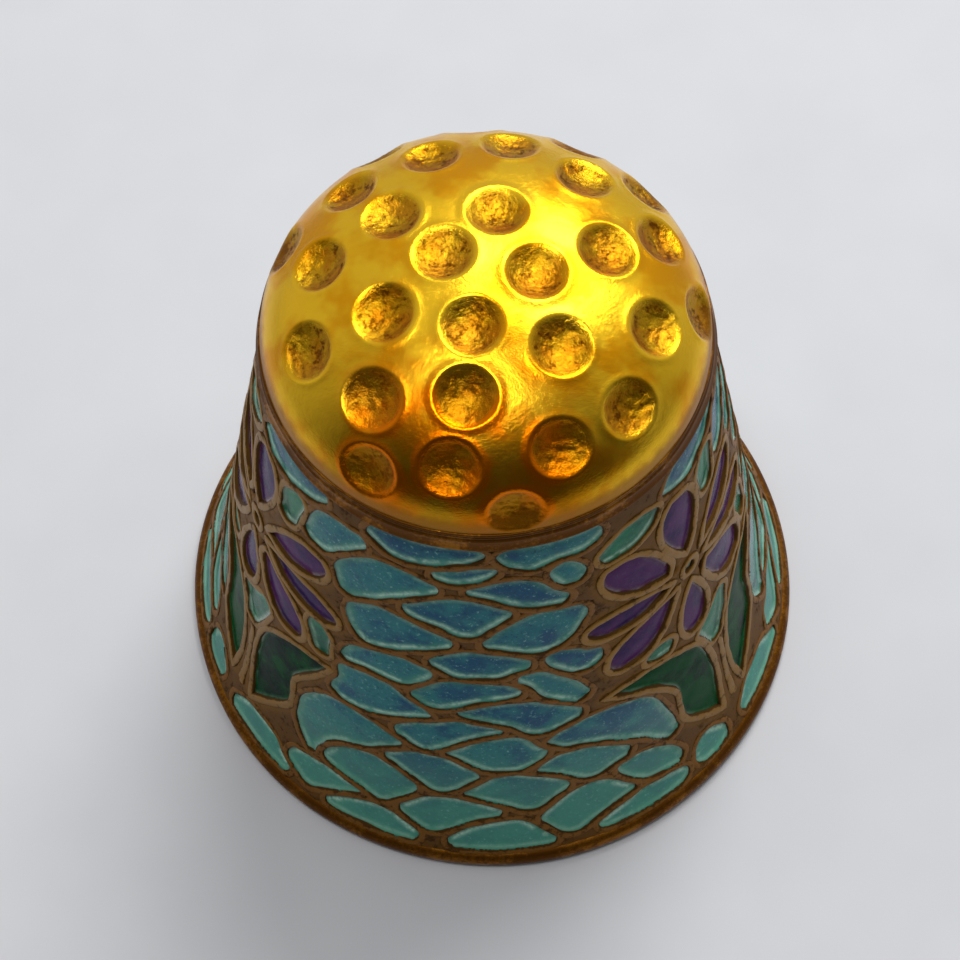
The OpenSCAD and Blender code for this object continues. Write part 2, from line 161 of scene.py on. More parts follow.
class Patch:
    """A small stretch of the wall laid flat: across is x in mm, height is y in mm."""

    def __init__(self, outline):
        self.azimuth = (outline[:, 0].min() + outline[:, 0].max()) / 2
        self.radius = float(coat_radius(outline[:, 1].mean()))

    def flat(self, polar):
        return np.column_stack([(polar[:, 0] - self.azimuth) * self.radius, polar[:, 1]])

    def polar(self, flat):
        return np.column_stack([flat[:, 0] / self.radius + self.azimuth, flat[:, 1]])

    def bend(self, flat, lift):
        """Points in mm of a flat drawing bent back on the wall and lifted off it."""
        azimuth = flat[:, 0] / self.radius + self.azimuth
        r = coat_radius(flat[:, 1]) + lift
        return np.column_stack([r * np.sin(azimuth), -r * np.cos(azimuth), flat[:, 1]])


sample = outlines("scale_enamel_row_6")
print("row 6 has", len(sample), "cells of", len(sample[0]), "corner points")


# %% [markdown]
# ## Smooth lines from few points
# The CAD outlines have straight stretches of about half a millimetre. Wire bends in
# smooth curves and has real corners only at the tips, so each stretch becomes a Hermite
# curve whose end directions come from the neighbours, except at a corner.


# %% Smooth and resample an outline
def turn_angles(p, closed=True):
    before, after = p - np.roll(p, 1, 0), np.roll(p, -1, 0) - p
    turn = np.arctan2(before[:, 0] * after[:, 1] - before[:, 1] * after[:, 0],
                      (before * after).sum(1))
    if not closed:
        turn[[0, -1]] = math.pi
    return np.abs(turn)


def smooth_line(p, step, closed=True, corner=math.radians(50)):
    """The line resampled about every step mm, smooth except at its corners."""
    n = len(p)
    is_corner = turn_angles(p, closed) > corner
    out = []
    for i in range(n if closed else n - 1):
        j = (i + 1) % n
        chord = p[j] - p[i]
        length = math.hypot(*chord)
        leave = chord if is_corner[i] else (p[j] - p[i - 1]) / 2
        arrive = chord if is_corner[j] else (p[(j + 1) % n] - p[i]) / 2
        leave = leave * length / max(math.hypot(*leave), 1e-9)
        arrive = arrive * length / max(math.hypot(*arrive), 1e-9)
        count = max(1, round(length / step))
        t = (np.arange(count) / count)[:, None]
        out.append((1 + 2 * t) * (1 - t) ** 2 * p[i] + t * (1 - t) ** 2 * leave
                   + t * t * (3 - 2 * t) * p[j] - t * t * (1 - t) * arrive)
    if not closed:
        out.append(p[-1:])
    return np.vstack(out)


def nearest_edge(points, line):
    """Distance from each point to a closed line, the unit direction to it, and whether it is inside."""
    a, b = line, np.roll(line, -1, 0)
    along = b - a
    size = np.maximum((along ** 2).sum(1), 1e-12)
    best = np.full(len(points), np.inf)
    towards = np.zeros_like(points)
    inside = np.zeros(len(points), bool)
    for k in range(len(a)):
        t = np.clip(((points - a[k]) @ along[k]) / size[k], 0, 1)[:, None]
        gap = a[k] + t * along[k] - points
        distance = np.hypot(gap[:, 0], gap[:, 1])
        closer = distance < best
        best[closer] = distance[closer]
        towards[closer] = gap[closer]
        crosses = (a[k, 1] > points[:, 1]) != (b[k, 1] > points[:, 1])
        if crosses.any():
            x = a[k, 0] + (points[:, 1] - a[k, 1]) * along[k, 0] / (along[k, 1] or 1e-12)
            inside ^= crosses & (points[:, 0] < x)
    return best, towards / np.maximum(best, 1e-9)[:, None], inside


line = smooth_line(Patch(sample[0]).flat(sample[0]), 0.07)
print("one cell's outline:", len(line), "points,", round(float(np.ptp(line[:, 0])), 2), "mm wide")

# %% [markdown]
# ## Small helpers
# Hand work is never exact, so most sizes get a little smooth waviness. It is a sum of a
# few waves that close round the thimble, with phases from a fixed seed, so that every
# run gives the same thimble.


# %% Waviness and mesh making
def wavy(azimuth, height, detail, seed):
    """Smooth noise from about -1 to 1 on the wall. Detail is waves per mm."""
    rng = np.random.default_rng(seed)
    total = np.zeros(np.broadcast(azimuth, height).shape)
    for _ in range(6):
        around = round(rng.uniform(-1, 1) * detail * 8)
        upward = rng.uniform(-1, 1) * detail
        total += np.sin(around * azimuth + upward * height + rng.uniform(0, TURN))
    return total / 3


def make_piece(name, points, faces, replaced=(), marks=None):
    """A mesh object from points in mm, which rides on the body and stands for CAD nodes."""
    mesh = bpy.data.meshes.new(name)
    mesh.from_pydata((np.asarray(points) * MM).tolist(), [], faces)
    for key, values in (marks or {}).items():
        mesh.attributes.new(key, "FLOAT", "POINT").data.foreach_set("value", np.asarray(values, float))
    mesh.polygons.foreach_set("use_smooth", [True] * len(mesh.polygons))
    mesh.set_sharp_from_angle(angle=math.radians(60))
    piece = bpy.data.objects.new(name, mesh)
    scene.collection.objects.link(piece)
    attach(piece, "root")
    if replaced:
        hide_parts(*replaced)
    return piece


class Pile:
    """Collects several closed solids into one mesh."""

    def __init__(self):
        self.points, self.faces, self.marks, self.count = [], [], {}, 0

    def add(self, points, faces, **marks):
        self.points.append(points)
        self.faces += [[i + self.count for i in face] for face in faces]
        for key, values in marks.items():
            self.marks.setdefault(key, []).append(np.broadcast_to(values, len(points)))
        self.count += len(points)

    def piece(self, name, replaced=(), slot=None):
        marks = {key: np.concatenate(values) for key, values in self.marks.items()}
        made = make_piece(name, np.vstack(self.points), self.faces, replaced, marks)
        print(f"{name}: {len(made.data.polygons)} faces")
        return made


# %% [markdown]
# ## Glass in a cell
# Molten glass wets the wire round it and hangs a little under gravity, because the
# thimble stands on its foot in the kiln. So a cell's surface is a shallow dish that
# climbs to the wire below it and falls away from the wire above it. Those two slopes
# catch the light as bright streaks along a cell's edges, and pale painted glints are
# laid along the same edges. The cell is paved with triangles. Beside the fence, where
# the surface curves, the points follow the outline in three rows, and in the middle they
# lie wide apart.

# %% Pave a cell and give it its relief
EDGE_ROWS = (0.03, 0.065, 0.11)   # mm from the fence to the rows of points beside it
WIDE = 0.1          # mm between points in the middle
GLASS_FOOT = 0.02   # mm off the coat at which the glass solid ends
GLASS_LEVEL = GLASS_TOP - 0.095
CLEARANCE = 0.045     # mm, the gap beside a flower's wire in the CAD model, which molten glass fills
STRIP = 0.22          # mm, the wire's width that is left between two scales
FLOWER_STRIP = 0.30   # mm, that between a scale and a petal or leaf
END_STRIP = 0.12      # mm, that beside the collar and the foot rim
MOST_GROWTH = 0.32    # mm that a scale's glass may spread beyond its CAD outline


def outward(line):
    """The unit directions out of a closed flat line, at its points."""
    along = np.roll(line, -1, 0) - np.roll(line, 1, 0)
    out = np.column_stack([along[:, 1], -along[:, 0]]) * np.sign(signed_area(line))
    return out / np.maximum(np.hypot(*out.T), 1e-9)[:, None]


def signed_area(line):
    return (line[:, 0] * np.roll(line[:, 1], -1) - line[:, 1] * np.roll(line[:, 0], -1)).sum() / 2


def pave(line):
    """Points and triangles that fill a flat closed line."""
    low, high = line.min(0), line.max(0)
    j, i = np.mgrid[0:int((high[1] - low[1]) / (WIDE * 0.866)) + 1, 0:int((high[0] - low[0]) / WIDE) + 1]
    middle = np.column_stack([(low[0] + (i + 0.5 * (j % 2)) * WIDE).ravel(), (low[1] + j * WIDE * 0.866).ravel()])
    distance, _, inside = nearest_edge(middle, line)
    points = [line, middle[inside & (distance > EDGE_ROWS[-1] + 0.05)]]
    for row in EDGE_ROWS:
        beside = line - outward(line) * row
        distance, _, inside = nearest_edge(beside, line)
        points.insert(1, beside[inside & (distance > row * 0.93)])
    ring = list(range(len(line)))
    made = delaunay_2d_cdt([Vector(p) for p in np.vstack(points)], [],
                           [ring if signed_area(line) > 0 else ring[::-1]], 1, 1e-6)
    return np.array([v[:] for v in made[0]]), [list(face) for face in made[2]]


class Cell:
    """One cell: its patch of wall, its smooth outline there, and what kind of glass fills it."""

    def __init__(self, node, kind, outline):
        self.node, self.kind = node, kind
        self.patch = Patch(outline)
        self.line = smooth_line(self.patch.flat(outline), 0.065)
        self.middle = outline.mean(0)
        self.around = self.patch.polar(self.line)

    def in_flower(self):
        return self.kind in ("petal", "leaf", "heart")


def even_out(values, passes):
    for _ in range(passes):
        values = (values + np.roll(values, 1) + np.roll(values, -1)) / 3
    return values


def grown(cell, neighbours):
    """The cell's outline, moved out until only a wire's width is left to its neighbours."""
    if cell.in_flower():
        return cell.line + outward(cell.line) * CLEARANCE
    room = np.full(len(cell.line), MOST_GROWTH)
    for other in neighbours:
        theirs = other.around.copy()
        theirs[:, 0] += TURN * round((cell.middle[0] - theirs[:, 0].mean()) / TURN)
        theirs = cell.patch.flat(theirs)
        gap = np.sqrt(((cell.line[:, None] - theirs[None]) ** 2).sum(2)).min(1)
        room = np.minimum(room, gap - CLEARANCE - FLOWER_STRIP if other.in_flower() else (gap - STRIP) / 2)
    out = outward(cell.line)
    to_end = np.where(out[:, 1] < 0, cell.line[:, 1] - wall_low, wall_high - cell.line[:, 1]) - END_STRIP
    room = np.minimum(room, to_end / np.maximum(np.abs(out[:, 1]), 0.05))
    room = even_out(np.clip(room, 0.01, MOST_GROWTH), 8)
    line = cell.line + out * room[:, None]
    distance, _, inside = nearest_edge(line, cell.line)
    keep = ~inside & (distance > room * 0.8)
    line = line[keep]
    return line[np.hypot(*(np.roll(line, -1, 0) - line).T) > 0.02]


def glass_lift(points, line, azimuth, seed, sag):
    distance, towards, _ = nearest_edge(points, line)
    up = np.clip(towards[:, 1], -1, 1)
    uneven = 1 + 0.35 * wavy(azimuth, points[:, 1], 5, seed + 2)
    climb = 0.095 * uneven * np.exp(-distance / 0.07) * (1 - 0.9 * sag * np.clip(up, 0, 1))
    fall = -0.07 * sag * uneven * np.exp(-distance / 0.13) * np.clip(up, 0, 1)
    middle = 0.045 * (1 - np.exp(-distance / 0.4))
    ripple = 0.007 * wavy(azimuth, points[:, 1], 7, seed) + 0.0015 * wavy(azimuth, points[:, 1], 21, seed + 1)
    # Masks for painted glints: pale streaks just inside a cell's lower edges, and inside its upper edges where the
    # glass sags, where curved glass catches the light.
    low_glint = (1 - 0.7 * sag) * np.exp(-((distance - 0.13) / 0.06) ** 2) * np.clip(-1.3 * up, 0, 1)
    high_glint = (0.2 + 0.8 * sag) * np.exp(-((distance - 0.21) / 0.08) ** 2) * np.clip(1.3 * up, 0, 1)
    return GLASS_LEVEL + climb + fall + middle + ripple, distance, low_glint + high_glint


def glass_cell(pile, cell, seed):
    patch, line, sag = cell.patch, cell.grown, sag_at(cell.middle[1])
    points, triangles = pave(line)
    lift, distance, frit = glass_lift(points, line, patch.polar(points)[:, 0], seed, sag)
    top = patch.bend(points, lift)
    count, ring = len(points), len(line)
    rim = patch.bend(points[:ring], np.full(ring, GLASS_FOOT))
    order = list(range(ring)) if signed_area(line) > 0 else list(range(ring))[::-1]
    sides = [[order[k], count + order[k], count + order[(k + 1) % ring], order[(k + 1) % ring]]
             for k in range(ring)]
    bottom = [[count + k for k in reversed(order)]]
    rng = np.random.default_rng(seed)
    pile.add(np.vstack([top, rim]), triangles + sides + bottom,
             fence=np.concatenate([distance, np.zeros(ring)]),
             frit=np.concatenate([frit, np.zeros(ring)]), tone=rng.uniform(0, 1))


ROWS = sorted((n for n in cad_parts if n.startswith("scale_enamel_row_")),
              key=lambda n: int(n.rsplit("_", 1)[1]))
glass_pieces = {"scale": [], "petal": [], "leaf": [], "heart": [], "accent": []}
cells = [Cell(node, "scale", outline) for node in ROWS for outline in outlines(node)]
for side in ("right", "left", "back"):
    for kind in ("petal", "leaf", "heart", "accent"):
        node = f"{side}_{kind}_enamel"
        cells += [Cell(node, kind, outline) for outline in outlines(node)]
for cell in cells:
    apart = [(abs((cell.middle[0] - other.middle[0] + math.pi) % TURN - math.pi) * cell.patch.radius,
              abs(cell.middle[1] - other.middle[1])) for other in cells]
    cell.grown = grown(cell, [other for other, (x, y) in zip(cells, apart) if other is not cell and x < 5 and y < 4])


def sag_at(height):
    """Glass sags more towards the foot, where the wall leans out."""
    return float(np.clip((11 - height) / 8, 0.15, 1))


SLOTS = {"scale": "turquoise_enamel", "heart": "turquoise_enamel", "petal": "purple_enamel",
         "leaf": "leaf_enamel", "accent": "accent_enamel"}
for node in dict.fromkeys(cell.node for cell in cells):
    pile = Pile()
    own = [cell for cell in cells if cell.node == node]
    for k, cell in enumerate(own):
        glass_cell(pile, cell, sum(map(ord, node)) * 10 + k)
    glass_pieces[own[0].kind].append(pile.piece(node.replace("enamel", "glass"), [node], SLOTS[own[0].kind]))

# %% [markdown]
# ## Wires
# A flat wire that was bent by hand, pressed on the wall and ground level with the glass
# has a rounded top and is never quite even. It could be a curve with a bevel, but then it
# would end in a wrong place on a tapered wall. Here a small rounded profile is carried
# along the wire's middle line, which is half way between the two sides of the CAD wire.


# %% Find the middle lines and sweep the wire along them
def middle_line(loops):
    """(line, closed) of one wire: an open bar has one outline, a closed one has two."""
    if len(loops) == 2:
        inner, outer = sorted(loops, key=lambda p: np.ptp(p[:, 1]) * np.ptp(p[:, 0]))
        gap = ((inner[:, None] - outer[None]) ** 2).sum(2)
        return (inner + outer[gap.argmin(1)]) / 2, True
    p = loops[0]
    half = len(p) // 2
    flat = Patch(p).flat(p)
    edge = np.hypot(*(np.roll(flat, -1, 0) - flat).T)
    end = int((edge + np.roll(edge, -half))[:half].argmin())
    p = np.roll(p, -(end + 1), 0)
    return (p[:half] + p[half:][::-1]) / 2, False


def sweep_wire(pile, line, closed, patch, width, top, seed):
    """Carries the rounded profile of a worn flat wire along a flat line on the wall."""
    if closed:
        along = np.roll(line, -1, 0) - np.roll(line, 1, 0)
    else:
        along = np.gradient(line, axis=0)
    along /= np.maximum(np.hypot(*along.T), 1e-9)[:, None]
    across = np.column_stack([-along[:, 1], along[:, 0]])
    azimuth = patch.polar(line)[:, 0]
    uneven = 1 + 0.12 * wavy(azimuth, line[:, 1], 6, seed)
    high = top + 0.012 * wavy(azimuth, line[:, 1], 8, seed + 1)
    shape = [(-0.5, None), (-0.5, 0.55), (-0.42, 0.86), (-0.22, 1.0), (0, 1.03),
             (0.22, 1.0), (0.42, 0.86), (0.5, 0.55), (0.5, None)]
    rings = []
    for share, rise in shape:
        lift = np.full(len(line), GLASS_FOOT) if rise is None else high - (1 - rise) * 0.1
        rings.append(patch.bend(line + across * (share * width * uneven)[:, None], lift))
    n, m = len(line), len(shape)
    points = np.stack(rings, 1).reshape(-1, 3)
    faces = [[i * m + k, i * m + (k + 1) % m, (i + 1) % n * m + (k + 1) % m, (i + 1) % n * m + k]
             for i in range(n if closed else n - 1) for k in range(m)]
    if not closed:
        faces += [list(range(m))[::-1], [(n - 1) * m + k for k in range(m)]]
    crest = np.tile([0.0, 0.3, 0.7, 1, 1, 1, 0.7, 0.3, 0.0], n)
    pile.add(points, faces, crest=crest)


def wires_of(node):
    """The middle lines of a node's wires, open or closed."""
    loops = outlines(node)
    bars = []
    while loops:
        first = loops.pop(0)
        partner = None
        for k, other in enumerate(loops):
            if (np.abs(first.mean(0) - other.mean(0)) < [0.004, 0.05]).all():
                partner = k
                break
        bars.append([first] if partner is None else [first, loops.pop(partner)])
    return [middle_line(bar) for bar in bars]


def fence_round(pile, cell, top, seed):
    """A wire all round a cell, in the middle of the strip that its glass leaves free."""
    line = cell.grown + outward(cell.grown) * STRIP / 2
    line = np.column_stack([even_out(line[:, 0], 2), even_out(line[:, 1], 2)])
    sweep_wire(pile, line, True, cell.patch, STRIP + 0.03, top, seed)


def bend_wires(node, width, top, slot, fenced, swept=True):
    """A node's wires: those round the cells of the fenced node, and its own middle lines."""
    pile = Pile()
    for k, cell in enumerate([cell for cell in cells if cell.node == fenced]):
        fence_round(pile, cell, top - 0.02, 5 * k + 3)
    for k, (middle, closed) in enumerate(wires_of(node) if swept else []):
        patch = Patch(middle)
        flat = smooth_line(patch.flat(middle), 0.09, closed, math.radians(65))
        sweep_wire(pile, flat, closed, patch, width, top, sum(map(ord, node)) + 7 * k)
    return pile.piece(node.replace("wires", "fence").replace("wire", "fence"), [node], slot)


FLOWER_WIRE = 0.285  # mm, the visible width of a petal's or leaf's wire
scale_wires = [bend_wires(n.replace("enamel", "wires"), 0, WIRE_TOP, "scale_wire", n, swept=False) for n in ROWS]
flower_wires = [bend_wires(f"{side}_{part}", FLOWER_WIRE, WIRE_TOP + 0.01, "flower_wire",
                           f"{side}_accent_enamel" if part == "leaf_wires" else None)
                for side in ("right", "left", "back")
                for part in ("petal_wires", "heart_wire", "leaf_wires", "stem_wire")]

# %% [markdown]
# ## The ground between the cells
# Between two neighbouring wires lies a strip of dark fired coat and solder. It is one
# sleeve round the wall, a little lower than the wires, that dips under every cell. Its
# height at a point follows from how far the point is from the nearest cell.

# %% Build the sleeve
GRID = 0.105   # mm between the sleeve's points


def ground_sleeve():
    around = round(TURN * float(coat_radius(wall_low)) / GRID / 1.15)
    upward = round((wall_high - wall_low) / GRID)
    azimuth, height = np.meshgrid(np.arange(around) * TURN / around,
                                  np.linspace(wall_low, wall_high, upward + 1))
    gap, to_flower = np.full(azimuth.shape, 0.8), np.full(azimuth.shape, 0.8)
    for cell in cells:
        patch, line = cell.patch, cell.grown[::2]
        offset = (azimuth - patch.azimuth + math.pi) % TURN - math.pi
        x, y = offset * patch.radius, height
        low, high = line.min(0) - 0.8, line.max(0) + 0.8
        near = (x > low[0]) & (x < high[0]) & (y > low[1]) & (y < high[1])
        distance, _, inside = nearest_edge(np.column_stack([x[near], y[near]]), line)
        gap[near] = np.minimum(gap[near], np.where(inside, -distance, distance))
        if cell.in_flower():
            to_flower[near] = np.minimum(to_flower[near], distance)
    rise = np.clip((gap - 0.01) / 0.12, 0, 1)
    lift = ((WIRE_TOP - 0.045) * rise * rise * (3 - 2 * rise)
            + (0.010 * wavy(azimuth, height, 7, 41) + 0.004 * wavy(azimuth, height, 19, 42)) * rise)
    r = coat_radius(height) + lift
    outer = np.stack([r * np.sin(azimuth), -r * np.cos(azimuth), height], -1).reshape(-1, 3)
    a, backs = azimuth[0], np.linspace(wall_high, wall_low, 40)
    inner = [np.stack([r * np.sin(a), -r * np.cos(a), np.full_like(a, level)], -1)
             for level, r in zip(backs, coat_radius(backs) - 0.05)]
    points = np.vstack([outer, *inner])
    rings = upward + 1 + len(backs)
    k = np.arange(around)
    faces = []
    for row in range(rings):
        a, b = row * around, (row + 1) % rings * around
        faces += np.column_stack([a + k, a + (k + 1) % around, b + (k + 1) % around, b + k]).tolist()
    marks = {"crest": np.concatenate([1 - to_flower.ravel() / 0.8, np.zeros(len(backs) * around)])}
    return make_piece("ground_sleeve", points, faces, ["ground_coat"], marks)


ground = ground_sleeve()
print("ground sleeve:", len(ground.data.polygons), "faces")

# %% [markdown]
# ## The crown
# The dimples were punched one by one into a stamped dome, so they keep a rough floor and
# push up soft shoulders. Their places come from the CAD crown: each dimple there is part
# of a ball, and the ball's centre follows from its points by least squares. The dome is
# paved evenly from the apex outwards, because rings round a pole would crowd its points.

# %% Find the dimples in the CAD crown
crown_points = node_points("crown_cap")
crown_foot, crown_top = crown_points[:, 2].min(), crown_points[:, 2].max()
crown_r = np.hypot(crown_points[:, 0], crown_points[:, 1]).max()
crown_h = crown_top - crown_foot
crown_bore = np.hypot(*crown_points[np.isclose(crown_points[:, 2], crown_foot, atol=1e-3), :2].T).min()
crown_wall = crown_r - crown_bore


def separate_faces(node):
    """The points of each CAD face of a node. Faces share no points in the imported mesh."""
    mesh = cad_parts[node].data
    points = node_points(node)
    label = np.arange(len(points))
    edges = np.array([e.vertices[:] for e in mesh.edges])
    while True:
        low = np.minimum(label[edges[:, 0]], label[edges[:, 1]])
        before = label.copy()
        np.minimum.at(label, edges[:, 0], low)
        np.minimum.at(label, edges[:, 1], low)
        label = label[label]
        if (label == before).all():
            break
    return [points[label == one] for one in np.unique(label)]


def fit_ball(p):
    """Centre, radius and worst error of the ball through points."""
    a = np.column_stack([2 * p, np.ones(len(p))])
    x = np.linalg.lstsq(a, (p ** 2).sum(1), rcond=None)[0]
    radius = math.sqrt(max(x[3] + (x[:3] ** 2).sum(), 0))
    return x[:3], radius, np.abs(np.linalg.norm(p - x[:3], axis=1) - radius).max()


fits = [fit_ball(group) for group in separate_faces("crown_cap") if len(group) >= 20]
fits = [(c, r) for c, r, error in fits if error < 0.01 and 0.5 < r < crown_r / 2 and c[2] > crown_foot]
ball_r = float(np.median([r for _, r in fits]))
balls = []
for centre, r in fits:
    if abs(r - ball_r) < 0.03 and all(np.linalg.norm(centre - other) > 0.3 for other in balls):
        balls.append(centre)
print(len(balls), "dimples, punched with a ball of", round(ball_r, 2), "mm radius")

# %% [markdown]
# ## Punching the dome
# A point of the dome sinks by its way to the punch's surface, along the dome's own
# direction outwards. A soft maximum rounds the shoulder, a low ridge stands round it
# where metal was pushed aside, and the floor gets the grain of the worn punch.


# %% Build the crown
def dome(t, r, h):
    """Points' radius and height on the dome, where t runs from 0 at the apex to 90 degrees."""
    return r * np.sin(t), crown_foot + h * np.cos(t)


def even_steps(count, r, h):
    """Angles t that cut the dome's outline into equal lengths."""
    t = np.linspace(0, math.pi / 2, 2000)
    x, z = dome(t, r, h)
    length = np.concatenate([[0], np.cumsum(np.hypot(np.diff(x), np.diff(z)))])
    return np.interp(np.linspace(0, length[-1], count + 1), length, t)


def build_crown():
    rings = 118
    steps = even_steps(rings, crown_r, crown_h)
    t = np.concatenate([[0.0]] + [np.full(6 * k, steps[k]) for k in range(1, rings + 1)])
    a = np.concatenate([[0.0]] + [np.arange(6 * k) * TURN / (6 * k) for k in range(1, rings + 1)])
    r, z = dome(t, crown_r, crown_h)
    p = np.column_stack([r * np.sin(a), -r * np.cos(a), z])
    n = np.column_stack([np.sin(t) / crown_r * np.sin(a), -np.sin(t) / crown_r * np.cos(a), np.cos(t) / crown_h])
    n /= np.linalg.norm(n, axis=1)[:, None]
    sink, ridge, hollow = np.zeros(len(p)), np.zeros(len(p)), np.zeros(len(p))
    rng = np.random.default_rng(11)
    for centre in balls:
        stand_off = np.linalg.norm(p - centre, axis=1).min()
        reach = math.sqrt(ball_r ** 2 - stand_off ** 2)
        bite = 1 + rng.uniform(0.006, 0.022)
        q = p - centre
        qn = (q * n).sum(1)
        way = qn + np.sqrt(np.maximum(qn ** 2 - (q ** 2).sum(1) + (ball_r * bite) ** 2, 0))
        aside = np.sqrt(np.maximum((q ** 2).sum(1) - qn ** 2, 0))
        near = (aside < reach * 1.6) & (qn < 0)
        depth = rng.uniform(0.95, 1.2)
        own = np.where(near, 0.018 * np.log1p(np.exp(np.clip((way - 0.01) / 0.018, -30, 30))) * depth, 0)
        sink = np.maximum(sink, own)
        ridge = np.maximum(ridge, np.where(near, np.exp(-((aside - reach * 1.14) / 0.17) ** 2), 0))
        hollow = np.maximum(hollow, np.where(near, np.clip(way / 0.12, 0, 1), 0))
    rough = hollow * 0.012 * (wavy(a, z * 3, 12, 5) + wavy(a * 3, p[:, 0] * 4, 9, 6) * np.cos(p[:, 1] * 13))
    dents = 0.02 * wavy(a, z, 0.8, 7) * np.sin(t)
    grow = 0.022 * ridge * (1 - hollow) - sink + rough + dents - 0.022
    low = np.clip((z - crown_foot) / 0.25, 0, 1)
    p = p + n * (grow * low)[:, None]
    count = len(p)
    start = [0] + [1 + 3 * k * (k - 1) for k in range(1, rings + 2)]
    faces = [[0, 1 + k, 1 + (k + 1) % 6] for k in range(6)]
    for k in range(1, rings):
        inner, outer = start[k], start[k + 1]
        for side in range(6):
            for i in range(k + 1):
                a0 = outer + (side * (k + 1) + i) % (6 * (k + 1))
                a1 = outer + (side * (k + 1) + i + 1) % (6 * (k + 1))
                b0 = inner + (side * k + i) % (6 * k)
                faces.append([b0, a0, a1])
                if i < k:
                    faces.append([b0, a1, inner + (side * k + i + 1) % (6 * k)])
    around, last = 6 * rings, start[rings]
    azimuth = np.arange(around) * TURN / around
    back = []
    for step in even_steps(12, crown_bore, crown_h - crown_wall)[:0:-1]:
        br, bz = dome(step, crown_bore, crown_h - crown_wall)
        back.append(np.column_stack([br * np.sin(azimuth), -br * np.cos(azimuth), np.full(around, bz)]))
    points = np.vstack([p, *back])
    levels = [last] + [count + k * around for k in range(len(back))]
    k = np.arange(around)
    for upper, lower in zip(levels, levels[1:]):
        faces += np.column_stack([upper + k, lower + k, lower + (k + 1) % around, upper + (k + 1) % around]).tolist()
    faces.append([levels[-1] + i for i in range(around)])
    tail = np.zeros(len(points) - count)
    marks = {"hollow": np.concatenate([hollow, tail]),
             "ridge": np.concatenate([ridge * (1 - hollow), tail]),
             "down": np.concatenate([t / (math.pi / 2), tail])}
    return make_piece("gilt_crown", points, faces, ["crown_cap"], marks)


crown = build_crown()
print("crown:", len(crown.data.polygons), "faces")

# %% [markdown]
# ## Turned pieces
# The collar band, the foot rim and the lining were turned or rolled, so each is a
# profile carried round the axis. A real profile has rounded edges and wanders a little,
# and those two things are all that keeps a turned piece from looking like a plain tube.


# %% Build the collar, the foot rim and the lining
def lathe(name, profile, around, wander, node, seed=1, detail=2.0):
    """A closed (radius, height) profile, clockwise seen with the axis on its left, carried round the axis."""
    profile = np.asarray(profile, float)
    a = np.arange(around) * TURN / around
    r = profile[:, :1] + wander * wavy(a[None], profile[:, 1:] * 1.7 + profile[:, :1], detail, seed)
    z = np.broadcast_to(profile[:, 1:], r.shape)
    points = np.stack([r * np.sin(a), -r * np.cos(a), z], -1).reshape(-1, 3)
    faces, k = [], np.arange(around)
    for row in range(len(profile)):
        here, there = row * around, (row + 1) % len(profile) * around
        faces += np.column_stack([here + k, here + (k + 1) % around,
                                  there + (k + 1) % around, there + k]).tolist()
    made = make_piece(name, points, faces, [node])
    print(f"{name}: {len(faces)} faces")
    return made


def arc(centre, radius, start, end, count):
    angles = np.radians(np.linspace(start, end, count))
    return [(centre[0] + radius * math.cos(g), centre[1] + radius * math.sin(g)) for g in angles]


collar_points = node_points("collar_band")
collar_low, collar_high = collar_points[:, 2].min(), collar_points[:, 2].max()
collar_r = np.hypot(collar_points[:, 0], collar_points[:, 1]).max()
collar_bore = np.hypot(collar_points[:, 0], collar_points[:, 1]).min()
thread = 0.07   # mm, radius of the fine thread rolled in the collar's upper edge
collar_side = np.linspace(0, 1, 9)[1:-1]
collar_profile = ([(collar_bore, collar_high), (collar_bore, collar_low)]
                  + arc((collar_r - 0.09, collar_low + 0.08), 0.08, -90, 0, 6)
                  + [(collar_r - 0.01 - 0.1 * s - 0.04 * math.sin(math.pi * s),
                      collar_low + 0.08 + (collar_high - collar_low - 0.3) * s) for s in collar_side]
                  + arc((crown_r - 0.02, collar_high - 0.13), thread, -70, 80, 8)
                  + arc((crown_r - 0.02, collar_high - 0.0), thread, -70, 60, 6))
collar = lathe("collar_ring", collar_profile, 480, 0.018, "collar_band", 3)

rim_points = node_points("foot_rim")
rim_r = np.hypot(rim_points[:, 0], rim_points[:, 1])
bead_r = rim_points[:, 2].max() / 2
bead_centre = (rim_r.max() - bead_r - 0.025, bead_r)
web_in = float(rim_r.min())
rim_profile = ([(web_in + 0.06, 2 * bead_r), (web_in, 2 * bead_r - 0.06), (web_in, 0.08), (web_in + 0.08, 0)]
               + [(web_in + 0.3, 0), (bead_centre[0] - 0.2, 0)]
               + arc(bead_centre, bead_r, -90, 90, 22)[:-1]
               + [(bead_centre[0], 2 * bead_r), (bead_centre[0] - 0.2, 2 * bead_r)])
rim = lathe("foot_bead", rim_profile, 720, 0.02, "foot_rim", 8, 1.2)

lining_points = node_points("counter_enamel")
lining_r = np.hypot(lining_points[:, 0], lining_points[:, 1])
lining_levels = np.unique(np.round(lining_points[:, 2], 2))
lining_in = smooth_through(lining_levels, np.array(
    [lining_r[np.abs(lining_points[:, 2] - level) < 0.01].min() for level in lining_levels]))
lining_out = smooth_through(*outer_profile(lining_points))
lining_heights = np.linspace(lining_levels[0], lining_levels[-1], 90)
lining_profile = ([(float(lining_out(h)) - 0.01, h) for h in lining_heights[::6]]
                  + [(float(lining_in(h)), h) for h in lining_heights[::-1]])
lining = lathe("lining_glass", lining_profile, 360, 0.03, "counter_enamel", 21, 1.5)
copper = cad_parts["copper_body"]

# %% [markdown]
# ## A notation for node graphs
# A material is a small graph. The helpers below write one node a line, so that each
# material reads as a list of what it is made of.


# %% Graph helpers
def srgb(*values):
    """A colour written as 0 to 255 on a screen, in the linear numbers a shader takes."""
    scaled = [v / 255 for v in values]
    return (*[v / 12.92 if v <= 0.04045 else ((v + 0.055) / 1.055) ** 2.4 for v in scaled], 1)


